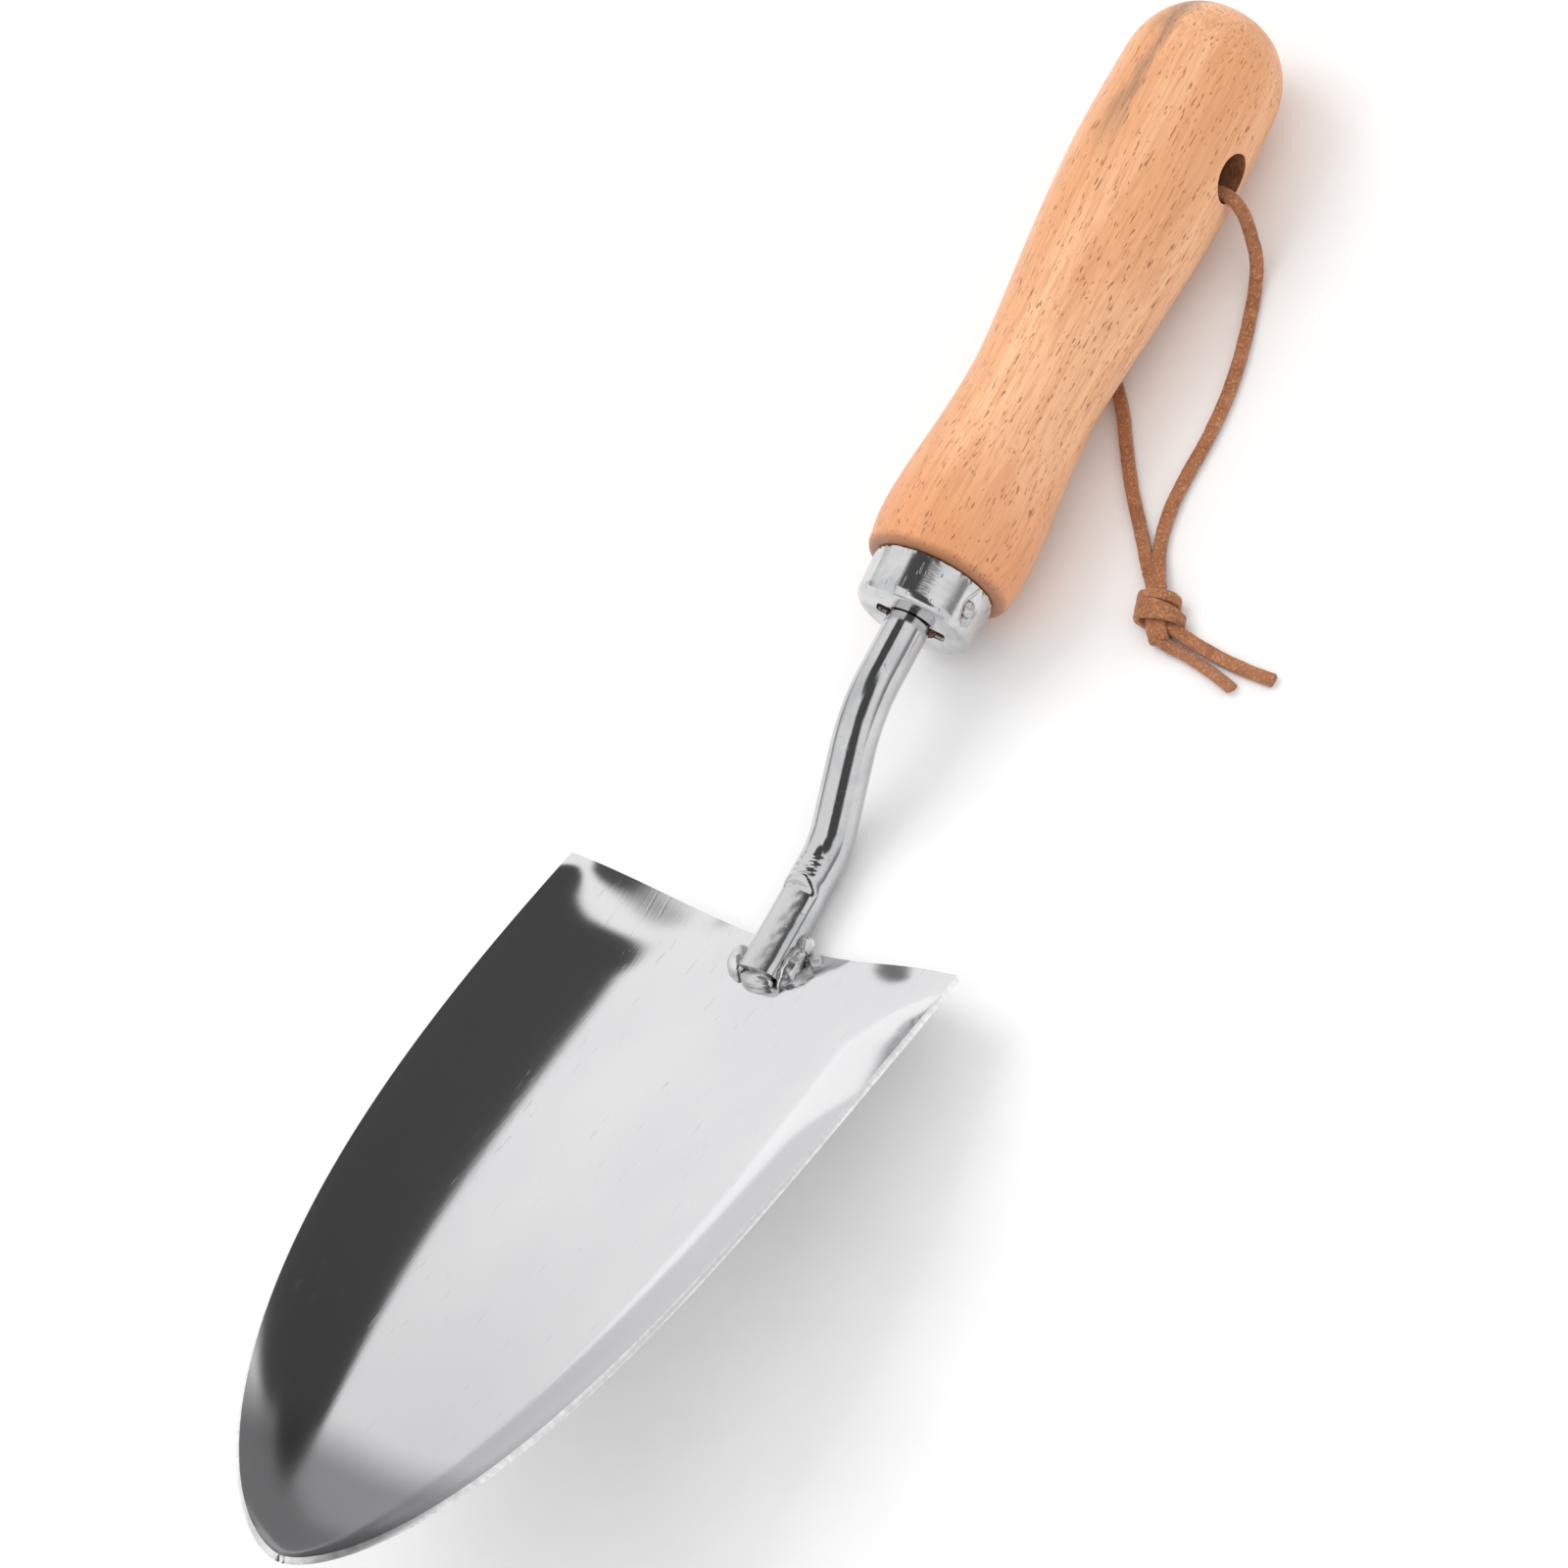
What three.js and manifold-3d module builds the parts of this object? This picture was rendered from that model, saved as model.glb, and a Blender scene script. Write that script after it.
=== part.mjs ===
// Hand trowel: a pressed stainless blade welded to a cranked round shank, whose tang sits in a
// turned beech handle behind a drawn ferrule; a suede lace is looped through the handle.
// Millimetres. +Y runs from the blade tip to the handle end, +X is the right-hand side, +Z is up.
// The trowel lies on its heel and its handle, and the origin is on that surface below its middle.
import * as THREE from "three";
import { mergeVertices } from "three/addons/utils/BufferGeometryUtils.js";
import Module from "manifold-3d";

// Overall
const OVERALL_LENGTH = 330;
const HANDLE_END_Y = OVERALL_LENGTH / 2;
const AXIS_Z = 15; // height of the handle's axis
const GAP = 0.3; // clearance between pieces that touch

// Blade
const SHEET = 1.2;
const BACK_Y = -18.6;
const TIP_Y = 1 - OVERALL_LENGTH / 2; // the top face; the edge below it reaches further
const BACK_HALF_WIDTH = 39.5;
const RIM_BACK_Z = 13.15; // level of the back corners' top face
const RIM_TIP_Z = 51;
const RIM_BOW = 4.5; // the rim arches up this far half way along
const SCOOP_DEPTH = 11.95;
const TIP_HALF_WIDTH = 0.6;
const FLARE_LENGTH = 0.1; // share of the length over which the back corners flatten

// Shank
const ROD_RADIUS = 4;
const FERRULE_FACE_Y = 39;
const TANG_DEPTH = 62;
const ROD_OFFSET_Z = 0.8; // the rod sits this far above the handle's axis
const NECK_STRAIGHT = 11.3;
const NECK_DROP_ANGLE = THREE.MathUtils.degToRad(30);
const UPPER_BEND_RADIUS = 27;
const LOWER_BEND_RADIUS = 12;
const FOOT_ANGLE = THREE.MathUtils.degToRad(2.5);
const LOWEST_ROD_Z = ROD_RADIUS;
const FOOT_END_Y = FERRULE_FACE_Y - 65.5;
const FOOT_FLAT_HEIGHT = 2.5; // the pressed flat lies this far above the rod's middle
const FOOT_FLAT_START = 5.3; // and starts this far past the lower bend
const EAR_SPAN = 12.6;
const EAR_THICKNESS = 2.2;
const EAR_LENGTH = 6;
const EAR_TURN = THREE.MathUtils.degToRad(26);

// Ferrule and its nail
const FERRULE_LENGTH = 8.6;
const FERRULE_FACE_RADIUS = 10.9;
const FERRULE_RIM_RADIUS = 11.2;
const FERRULE_WALL = 1;
const FERRULE_EDGE = 1.8;
const KEYHOLE_RADIUS = 4.9;
const NAIL_TURN = THREE.MathUtils.degToRad(13);
const NAIL_RADIUS = 0.7;
const NAIL_HEAD_RADIUS = 1.5;
const NAIL_HEAD_HEIGHT = 0.7;
const NAIL_LENGTH = 6;
const NAIL_FROM_FACE = 4.6;

// Handle
const SPIGOT_RADIUS = FERRULE_FACE_RADIUS - FERRULE_WALL - GAP - 0.1;
const HANDLE_MAX_RADIUS = 14.95;
const HOLE_Y = FERRULE_FACE_Y + 96.3;
const HOLE_RADIUS = 4.75;

// Lace
const LACE_RADIUS = 0.85;
const LACE_STEP = 4.5;
const LACE_SIDES = 8;

const wasm = await Module();
wasm.setup();

// ---------- solids ----------

// A closed geometry as a solid that can be joined and cut.
function solid(geometry) {
  const bare = geometry.clone();
  bare.deleteAttribute("normal");
  bare.deleteAttribute("uv");
  const merged = mergeVertices(bare, 1e-4);
  return new wasm.Manifold(
    new wasm.Mesh({
      numProp: 3,
      vertProperties: merged.attributes.position.array,
      triVerts: new Uint32Array(merged.index.array),
    }),
  );
}

function geometryOf(made) {
  const mesh = made.getMesh();
  const geometry = new THREE.BufferGeometry();
  geometry.setAttribute("position", new THREE.BufferAttribute(mesh.vertProperties, 3));
  geometry.setIndex(new THREE.BufferAttribute(mesh.triVerts, 1));
  return geometry;
}

function moved(geometry, x, y, z) {
  return geometry.translate(x, y, z);
}

// A solid of revolution about the handle's axis, from [radius, distance behind the ferrule face].
function turned(profile, segments) {
  const points = profile.map(([radius, along]) => new THREE.Vector2(radius, along));
  const halfStep = Math.PI / segments; // a flat facet faces down
  return moved(new THREE.LatheGeometry(points, segments, halfStep), 0, FERRULE_FACE_Y, AXIS_Z);
}

// A round bar of one radius along a curve.
function bar(curve, radius, steps, sides) {
  const section = new THREE.Shape();
  for (let i = 0; i < sides; i++) {
    const angle = (2 * Math.PI * i) / sides;
    const place = i === 0 ? "moveTo" : "lineTo";
    section[place](radius * Math.cos(angle), radius * Math.sin(angle));
  }
  return new THREE.ExtrudeGeometry(section, { steps, extrudePath: curve, curveSegments: 1 });
}

// ---------- blade ----------

const BLADE_COLUMNS = 25; // odd, so that a flat strip runs along the keel
const BLADE_ROWS = 30;

// Half the blade's width, from 0 at the back edge to 1 at the tip.
function halfWidth(s) {
  return Math.max(BACK_HALF_WIDTH * (1 - s ** 3) ** 0.6, TIP_HALF_WIDTH);
}

function rimHeight(s) {
  return THREE.MathUtils.lerp(RIM_BACK_Z, RIM_TIP_Z, s) + 4 * RIM_BOW * s * (1 - s);
}

// How far the sheet is pressed below its rim: an arc across, flattening at the back corners.
function scoop(u, s) {
  const arc = 1 - Math.abs(u) ** 2.2;
  const bell = Math.cos((Math.PI * u) / 2) ** 2;
  const flare = 0.75 * (1 - THREE.MathUtils.smoothstep(s, 0, FLARE_LENGTH));
  const depth = SCOOP_DEPTH * (1 - s ** 4) ** 0.6;
  return depth * THREE.MathUtils.lerp(arc, bell, flare);
}

function bladeTop(u, s) {
  const y = THREE.MathUtils.lerp(BACK_Y, TIP_Y, s);
  return new THREE.Vector3(u * halfWidth(s), y, rimHeight(s) - scoop(u, s));
}

function bladeNormal(u, s) {
  const h = 1e-3;
  const middle = Math.min(s, 1 - 2 * h);
  const across = bladeTop(u + h, s).sub(bladeTop(u - h, s));
  const along = bladeTop(u, middle + h).sub(bladeTop(u, middle - h));
  return along.cross(across).normalize();
}

// A slab over the blade's outline, whose faces are given by two functions of u and s. It can be
// carried on behind the back edge.
function slab(upper, lower, behind = 0) {
  const extra = behind / (BACK_Y - TIP_Y);
  const geometry = new THREE.BoxGeometry(2, 1, 1, BLADE_COLUMNS, BLADE_ROWS, 1);
  const place = geometry.attributes.position;
  for (let i = 0; i < place.count; i++) {
    const u = place.getX(i);
    const s = 1 - (1 + extra) * (0.5 + place.getY(i)) ** 1.6;
    const point = place.getZ(i) > 0 ? upper(u, s) : lower(u, s);
    place.setXYZ(i, point.x, point.y, point.z);
  }
  return geometry;
}

function offset(distance) {
  return (u, s) => bladeTop(u, s).addScaledVector(bladeNormal(u, s), distance);
}

function blade() {
  return slab(offset(0), offset(-SHEET));
}

// Everything from just above the blade's top face down, to cut pieces clear of the blade.
function bladeClearance() {
  const far = (u, s) => bladeTop(u, s).add(new THREE.Vector3(0, 0, -20));
  return slab(offset(GAP), far, GAP);
}

// ---------- shank ----------

// The rod's middle line in the plane of symmetry: tang, straight, bend down, straight, bend up,
// foot. A bend's angle is 0 straight above its centre and grows towards the handle.
function shankCurve() {
  const path = new THREE.CurvePath();
  const point = (y, z) => new THREE.Vector3(0, y, z);
  const join = (a, b) => path.add(new THREE.LineCurve3(a, b));
  const bend = (centre, radius, from, to, pieces) => {
    let last = null;
    for (let i = 0; i <= pieces; i++) {
      const angle = THREE.MathUtils.lerp(from, to, i / pieces);
      const next = point(centre.y + radius * Math.sin(angle), centre.z + radius * Math.cos(angle));
      if (last) join(last, next);
      last = next;
    }
    return last;
  };
  const axis = AXIS_Z + ROD_OFFSET_Z;
  const start = point(FERRULE_FACE_Y + TANG_DEPTH, axis);
  const neck = point(FERRULE_FACE_Y - NECK_STRAIGHT, axis);
  join(start, neck);
  const upper = point(neck.y, axis - UPPER_BEND_RADIUS);
  const dropStart = bend(upper, UPPER_BEND_RADIUS, 0, -NECK_DROP_ANGLE, 8);
  const lowerCentreZ = LOWEST_ROD_Z + LOWER_BEND_RADIUS;
  const dropEndZ = lowerCentreZ - LOWER_BEND_RADIUS * Math.cos(NECK_DROP_ANGLE);
  const dropEndY = dropStart.y - (dropStart.z - dropEndZ) / Math.tan(NECK_DROP_ANGLE);
  join(dropStart, point(dropEndY, dropEndZ));
  const lower = point(dropEndY - LOWER_BEND_RADIUS * Math.sin(NECK_DROP_ANGLE), lowerCentreZ);
  const footStart = bend(
    lower, LOWER_BEND_RADIUS, Math.PI - NECK_DROP_ANGLE, Math.PI + FOOT_ANGLE, 8,
  );
  const run = footStart.y - FOOT_END_Y;
  join(footStart, point(FOOT_END_Y, footStart.z + run * Math.tan(FOOT_ANGLE)));
  return { path, footStart };
}

const { path: rodLine, footStart } = shankCurve();

// The rod's stations follow its corners, so each short line is one step of the bar.
function rodBar(radius) {
  const stations = rodLine.curves.map((line) => line.v1);
  stations.push(rodLine.curves.at(-1).v2);
  const sides = 20;
  const halfStep = Math.PI / sides; // a flat facet faces down
  const geometry = new THREE.CylinderGeometry(
    radius, radius, 1, sides, stations.length - 1, false, halfStep,
  );
  const place = geometry.attributes.position;
  for (let i = 0; i < place.count; i++) {
    const at = Math.round((0.5 - place.getY(i)) * (stations.length - 1));
    const before = stations[Math.max(at - 1, 0)];
    const after = stations[Math.min(at + 1, stations.length - 1)];
    const along = after.clone().sub(before).normalize();
    const up = along.clone().cross(new THREE.Vector3(1, 0, 0)).normalize();
    const across = place.getX(i);
    const rise = place.getZ(i);
    place.setXYZ(
      i, across, stations[at].y + up.y * rise, stations[at].z + up.z * rise,
    );
  }
  return geometry;
}

// A pair of pressed ears that key the tang into the ferrule and the wood.
function ears(clearance) {
  const size = 2 * clearance;
  const geometry = new THREE.BoxGeometry(
    EAR_SPAN + size, EAR_LENGTH + size, EAR_THICKNESS + size,
  );
  geometry.rotateY(EAR_TURN);
  return moved(
    geometry, 0, FERRULE_FACE_Y + EAR_LENGTH / 2, AXIS_Z + ROD_OFFSET_Z / 2,
  );
}

function shank() {
  const flat = new THREE.BoxGeometry(12, 40, 6);
  flat.translate(0, -20, FOOT_FLAT_HEIGHT + 3);
  flat.rotateX(-FOOT_ANGLE);
  moved(flat, 0, footStart.y - FOOT_FLAT_START, footStart.z + FOOT_FLAT_START * Math.tan(FOOT_ANGLE));
  return solid(rodBar(ROD_RADIUS))
    .subtract(solid(flat))
    .subtract(solid(bladeClearance()))
    .add(solid(ears(0)));
}

// ---------- welds ----------

// Each bead is a rounded lump over the blade, cut clear of the blade and the rod.
function bead(x, y, z, length, width, height) {
  const geometry = new THREE.SphereGeometry(1, 16, 10);
  geometry.scale(width, length, height);
  moved(geometry, x, y, z);
  return solid(geometry)
    .subtract(solid(bladeClearance()))
    .subtract(solid(rodBar(ROD_RADIUS + GAP)));
}

// Middle, then half the length, width and height of each bead.
const BEADS = {
  weld_bead_right: [4.9, -23.6, 4.4, 3.4, 1.9, 1.8],
  weld_bead_left: [-4.9, -25.4, 5, 2.6, 2, 1.8],
  weld_bead_front: [0.4, -28.4, 5.6, 1.8, 3, 1.6],
  weld_bead_heel: [4.8, -18, 3.5, 1.7, 1.5, 1.5],
};

// ---------- ferrule, nail, handle ----------

function ferrule() {
  const edge = [];
  for (let i = 0; i <= 5; i++) {
    const angle = (i / 5) * (Math.PI / 2);
    edge.push([
      FERRULE_FACE_RADIUS - FERRULE_EDGE * (1 - Math.sin(angle)),
      FERRULE_EDGE * (1 - Math.cos(angle)),
    ]);
  }
  const cup = turned(
    [
      [0, 0],
      ...edge,
      [FERRULE_RIM_RADIUS, FERRULE_LENGTH],
      [FERRULE_RIM_RADIUS - FERRULE_WALL, FERRULE_LENGTH],
      [FERRULE_FACE_RADIUS - FERRULE_WALL, FERRULE_EDGE],
      [FERRULE_FACE_RADIUS - FERRULE_WALL - 0.6, FERRULE_WALL],
      [0, FERRULE_WALL],
    ],
    48,
  );
  const hole = new THREE.CylinderGeometry(KEYHOLE_RADIUS, KEYHOLE_RADIUS, 6, 24);
  moved(hole, 0, FERRULE_FACE_Y, AXIS_Z + ROD_OFFSET_Z / 2);
  return solid(cup).subtract(solid(hole)).subtract(solid(ears(0.5))).subtract(solid(nailBore(GAP)));
}

// Places a piece modelled along +Y at the nail, pointing outwards from the ferrule.
function atNail(geometry) {
  geometry.rotateZ(-Math.PI / 2);
  geometry.rotateY(-NAIL_TURN);
  return moved(geometry, 0, FERRULE_FACE_Y + NAIL_FROM_FACE, AXIS_Z);
}

function nailBore(clearance) {
  const radius = NAIL_RADIUS + clearance;
  const reach = FERRULE_RIM_RADIUS + 2;
  const inner = FERRULE_RIM_RADIUS - NAIL_LENGTH - clearance;
  const bore = new THREE.CylinderGeometry(radius, radius, reach - inner, 10);
  bore.translate(0, (reach + inner) / 2, 0);
  return atNail(bore);
}

function ferruleNail() {
  const seat = FERRULE_RIM_RADIUS + 0.15;
  const profile = [
    [0, seat - NAIL_LENGTH],
    [NAIL_RADIUS, seat - NAIL_LENGTH + 1.4],
    [NAIL_RADIUS, seat],
    [NAIL_HEAD_RADIUS, seat],
    [NAIL_HEAD_RADIUS * 0.9, seat + NAIL_HEAD_HEIGHT * 0.5],
    [NAIL_HEAD_RADIUS * 0.5, seat + NAIL_HEAD_HEIGHT * 0.9],
    [0, seat + NAIL_HEAD_HEIGHT],
  ];
  const points = profile.map(([radius, along]) => new THREE.Vector2(radius, along));
  return atNail(new THREE.LatheGeometry(points, 12));
}

// The turned outline behind the ferrule: a bulb, a waist for the fingers and a full palm end.
const HANDLE_OUTLINE = new THREE.SplineCurve([
  new THREE.Vector2(13.2, 10.2),
  new THREE.Vector2(13.9, 16),
  new THREE.Vector2(13.6, 24),
  new THREE.Vector2(12.4, 36),
  new THREE.Vector2(11.8, 47),
  new THREE.Vector2(12.4, 58),
  new THREE.Vector2(13.5, 70),
  new THREE.Vector2(14.5, 83),
  new THREE.Vector2(HANDLE_MAX_RADIUS, 96),
  new THREE.Vector2(14.5, 111),
]);

function handle() {
  const profile = [
    [0, FERRULE_WALL + GAP],
    [SPIGOT_RADIUS - 0.8, FERRULE_WALL + GAP],
    [SPIGOT_RADIUS, FERRULE_WALL + GAP + 0.8],
    [SPIGOT_RADIUS, FERRULE_LENGTH + GAP],
    [11.9, FERRULE_LENGTH + GAP],
    [12.7, FERRULE_LENGTH + GAP + 0.5],
  ];
  for (const p of HANDLE_OUTLINE.getPoints(20)) profile.push([p.x, p.y]);
  const [domeRadius, domeStart] = profile.at(-1);
  const domeLength = HANDLE_END_Y - FERRULE_FACE_Y - domeStart;
  for (let i = 1; i <= 9; i++) {
    const angle = (i / 9) * (Math.PI / 2);
    profile.push([
      i === 9 ? 0 : domeRadius * Math.cos(angle) ** 0.82,
      domeStart + domeLength * Math.sin(angle),
    ]);
  }
  const bore = new THREE.CylinderGeometry(ROD_RADIUS + GAP, ROD_RADIUS + GAP, 1, 20);
  bore.scale(1, TANG_DEPTH + 4, 1);
  moved(bore, 0, FERRULE_FACE_Y + (TANG_DEPTH + 4) / 2 - 3, AXIS_Z + ROD_OFFSET_Z);
  const laceHole = new THREE.CylinderGeometry(HOLE_RADIUS, HOLE_RADIUS, 40, 24);
  laceHole.rotateZ(Math.PI / 2);
  moved(laceHole, 0, HOLE_Y, AXIS_Z);
  return solid(turned(profile, 40))
    .subtract(solid(bore))
    .subtract(solid(ears(GAP)))
    .subtract(solid(laceHole))
    .subtract(solid(nailBore(GAP)));
}

// ---------- lace ----------

const KNOT_CENTRE = [35.2, 59.2, 2.2];
const KNOT_SIZE = [6.6, 9.4, 4.2];

// The route of each stretch, from where it starts to where it ends.
const LACE_ROUTES = {
  lace_strand_right: [
    [0.4, 132.8, 13.5], [5, 132.8, 13.5], [10, 132.8, 13.5], [14.8, 132.7, 13.4], [17.4, 131.6, 11],
    [18.8, 129.6, 7.4], [20, 127, 3.8], [20.9, 123.2, 1.4], [22.6, 117.5, 0.95],
    [24.6, 110, 0.95], [26, 102, 0.95], [26.5, 93.5, 0.95], [26.3, 85.5, 0.95],
    [26.6, 78.5, 0.95], [28.2, 71.5, 0.95], [31.4, 65.4, 1.6],
  ],
  lace_strand_left: [
    [-0.4, 132.8, 13.5], [-5, 132.8, 13.5], [-10, 132.8, 13.5], [-15, 132.9, 13.5],
    [-16.6, 130.9, 10.6], [-17, 127.6, 6.8], [-16.8, 123.6, 3.2], [-15, 119, 1.2], [-11.6, 113.8, 0.95],
    [-6.8, 108, 0.95], [-1.4, 103.2, 0.95], [4, 99.4, 0.95], [9, 93.6, 0.95],
    [13.4, 86.8, 0.95], [18.4, 79.6, 0.95], [23.6, 73, 0.95], [28.2, 67, 1.2],
  ],
  lace_tail_long: [
    [39.2, 57.2, 1.5], [42.4, 56.4, 1], [46, 55.6, 0.95], [50, 54.8, 0.95], [55, 54.2, 0.95],
    [60.2, 53.9, 0.95],
  ],
  lace_tail_short: [
    [38, 54.6, 1.5], [41.2, 54, 1], [44.6, 53.2, 0.95], [49.2, 51.9, 0.95], [53.7, 50.3, 0.95],
  ],
};

function laceStretch(route) {
  const curve = new THREE.CatmullRomCurve3(route.map((p) => new THREE.Vector3(...p)));
  const steps = Math.ceil(curve.getLength() / LACE_STEP);
  return bar(curve, LACE_RADIUS, steps, LACE_SIDES);
}

function laceKnot() {
  const knot = new THREE.SphereGeometry(0.5, 14, 10);
  knot.scale(...KNOT_SIZE);
  knot.rotateZ(THREE.MathUtils.degToRad(25));
  return moved(knot, ...KNOT_CENTRE);
}

// ---------- the assembly ----------

const finishes = {
  polished_steel: { color: 0xd9dadb, roughness: 0.12, metalness: 1 },
  weld_steel: { color: 0xb9bbbc, roughness: 0.3, metalness: 1 },
  beech: { color: 0xdfa97c, roughness: 0.5, metalness: 0 },
  suede: { color: 0xa56c4a, roughness: 0.9, metalness: 0 },
};

const trowel = new THREE.Group();

function place(name, geometry, finish) {
  const mesh = new THREE.Mesh(geometry, new THREE.MeshStandardMaterial(finishes[finish]));
  mesh.name = name;
  trowel.add(mesh);
}

place("blade", blade(), "polished_steel");
place("shank", geometryOf(shank()), "polished_steel");
for (const [name, size] of Object.entries(BEADS)) {
  place(name, geometryOf(bead(...size)), "weld_steel");
}
place("ferrule", geometryOf(ferrule()), "polished_steel");
place("ferrule_nail", ferruleNail(), "polished_steel");
place("handle", geometryOf(handle()), "beech");
for (const [name, route] of Object.entries(LACE_ROUTES)) {
  place(name, laceStretch(route), "suede");
}
place("lace_knot", laceKnot(), "suede");

export default trowel;
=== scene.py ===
"""A hand trowel lying on its heel and its handle.

It has a polished blade, a cranked shank, a ferrule, a beech handle and a suede lace. The CAD frame
gives every place, and this script makes the fine surfaces and materials over it.
Metres. +Y runs from the blade's tip to the handle's end, +X is right, +Z is up.
"""

import math

import bmesh
import bpy
from mathutils import Matrix, Vector, noise

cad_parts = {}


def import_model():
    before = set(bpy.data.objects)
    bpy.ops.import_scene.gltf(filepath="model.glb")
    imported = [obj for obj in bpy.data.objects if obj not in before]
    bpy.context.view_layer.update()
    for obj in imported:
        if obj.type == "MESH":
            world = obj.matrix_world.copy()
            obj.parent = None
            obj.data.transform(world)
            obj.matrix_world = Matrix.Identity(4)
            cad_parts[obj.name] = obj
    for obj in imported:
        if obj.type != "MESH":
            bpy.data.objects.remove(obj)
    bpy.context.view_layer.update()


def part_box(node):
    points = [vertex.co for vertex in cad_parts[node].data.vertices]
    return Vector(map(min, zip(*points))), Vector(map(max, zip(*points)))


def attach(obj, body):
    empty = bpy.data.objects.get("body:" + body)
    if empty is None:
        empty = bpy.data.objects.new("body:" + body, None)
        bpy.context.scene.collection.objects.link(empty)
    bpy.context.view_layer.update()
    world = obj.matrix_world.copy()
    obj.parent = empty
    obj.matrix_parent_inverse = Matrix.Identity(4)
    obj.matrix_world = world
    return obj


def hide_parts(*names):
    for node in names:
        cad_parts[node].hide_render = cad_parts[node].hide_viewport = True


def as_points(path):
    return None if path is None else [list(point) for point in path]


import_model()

MM = 0.001
BODY = "root"

# ---------- sizes shared with the CAD model ----------

BLADE_LOW, BLADE_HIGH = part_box("blade")
FERRULE_LOW, FERRULE_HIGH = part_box("ferrule")
SHANK_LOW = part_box("shank")[0]

AXIS_Z = (FERRULE_LOW.z + FERRULE_HIGH.z) / 2
FACE_Y = FERRULE_LOW.y
BACK_Y = BLADE_HIGH.y
TIP_Y = BLADE_LOW.y + 1.0 * MM
BACK_HALF_WIDTH = 39.5 * MM
SHEET = 1.2 * MM
RIM_BACK_Z = 13.15 * MM
RIM_TIP_Z = 51 * MM
RIM_BOW = 4.5 * MM
SCOOP_DEPTH = 11.95 * MM
TIP_HALF_WIDTH = 0.6 * MM
ROD_RADIUS = 4 * MM
ROD_Z = AXIS_Z + 0.8 * MM
FOOT_END_Y = SHANK_LOW.y
HOLE_Y = FACE_Y + 96.3 * MM
HOLE_RADIUS = 4.55 * MM
HOLE_FLATNESS = 0.84


def smoothstep(low, high, value):
    t = min(max((value - low) / (high - low), 0), 1)
    return t * t * (3 - 2 * t)


def mix(a, b, t):
    return a + (b - a) * t


# ---------- camera and light -----------------

CAMERA_AZIMUTH = math.radians(58.56)
CAMERA_ELEVATION = math.radians(54.01)
CAMERA_ROLL = math.radians(35.48)
CAMERA_DISTANCE = 2.06
CAMERA_AIM = Vector((-10.8, 6.3, 9.3)) * MM
CAMERA_LENS = 277.3


def camera():
    data = bpy.data.cameras.new("camera")
    data.lens = CAMERA_LENS
    data.sensor_width = 36
    data.clip_end = 20
    data.dof.use_dof = False
    made = bpy.data.objects.new("camera", data)
    bpy.context.scene.collection.objects.link(made)
    flat = math.cos(CAMERA_ELEVATION)
    out = Vector((
        flat * math.sin(CAMERA_AZIMUTH),
        -flat * math.cos(CAMERA_AZIMUTH),
        math.sin(CAMERA_ELEVATION),
    ))
    turn = out.to_track_quat("Z", "Y").to_matrix().to_4x4()
    roll = Matrix.Rotation(-CAMERA_ROLL, 4, "Z")
    made.matrix_world = Matrix.Translation(CAMERA_AIM + out * CAMERA_DISTANCE) @ turn @ roll
    bpy.context.scene.camera = made


def area_light(name, place, aim, width, height, power):
    data = bpy.data.lights.new(name, "AREA")
    data.shape = "RECTANGLE"
    data.size = width
    data.size_y = height
    data.energy = power
    made = bpy.data.objects.new(name, data)
    made.visible_glossy = False  # steel mirrors the studio patches and not the lamp
    bpy.context.scene.collection.objects.link(made)
    place = Vector(place)
    turn = (place - Vector(aim)).to_track_quat("Z", "Y").to_matrix().to_4x4()
    made.matrix_world = Matrix.Translation(place) @ turn


camera()


# ---------- mesh helpers ----------


def piece(name, bm, materials, replaced, smooth_angle=None):
    """A finished piece from a bmesh: faces turned outwards, smooth, riding on the one body."""
    bmesh.ops.recalc_face_normals(bm, faces=bm.faces)
    for face in bm.faces:
        face.smooth = True
    if smooth_angle is not None:
        for edge in bm.edges:
            if len(edge.link_faces) == 2 and edge.calc_face_angle(0) > smooth_angle:
                edge.smooth = False
    mesh = bpy.data.meshes.new(name)
    bm.to_mesh(mesh)
    bm.free()
    made = bpy.data.objects.new(name, mesh)
    bpy.context.scene.collection.objects.link(made)
    for material in materials:
        mesh.materials.append(material)
    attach(made, BODY)
    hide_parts(*replaced)
    return made


def smooth_path(points, per_span):
    """A Catmull-Rom curve through the points, with per_span steps from each one to the next."""
    ends = [points[0] * 2 - points[1]] + points + [points[-1] * 2 - points[-2]]
    path = []
    for i in range(1, len(ends) - 2):
        a, b, c, d = ends[i - 1:i + 3]
        for k in range(per_span):
            t = k / per_span
            path.append(0.5 * (
                2 * b + (c - a) * t + (2 * a - 5 * b + 4 * c - d) * t * t
                + (3 * b - a - 3 * c + d) * t ** 3
            ))
    path.append(points[-1].copy())
    return path


def add_loft(bm, rings, material=0, caps=True):
    """Joins rings of points, all with the same count, into a closed skin."""
    made = [[bm.verts.new(p) for p in ring] for ring in rings]
    count = len(made[0])
    for a, b in zip(made, made[1:]):
        for i in range(count):
            j = (i + 1) % count
            bm.faces.new((a[i], a[j], b[j], b[i])).material_index = material
    if caps:
        bm.faces.new(made[0][::-1]).material_index = material
        bm.faces.new(made[-1]).material_index = material
    return made


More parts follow.
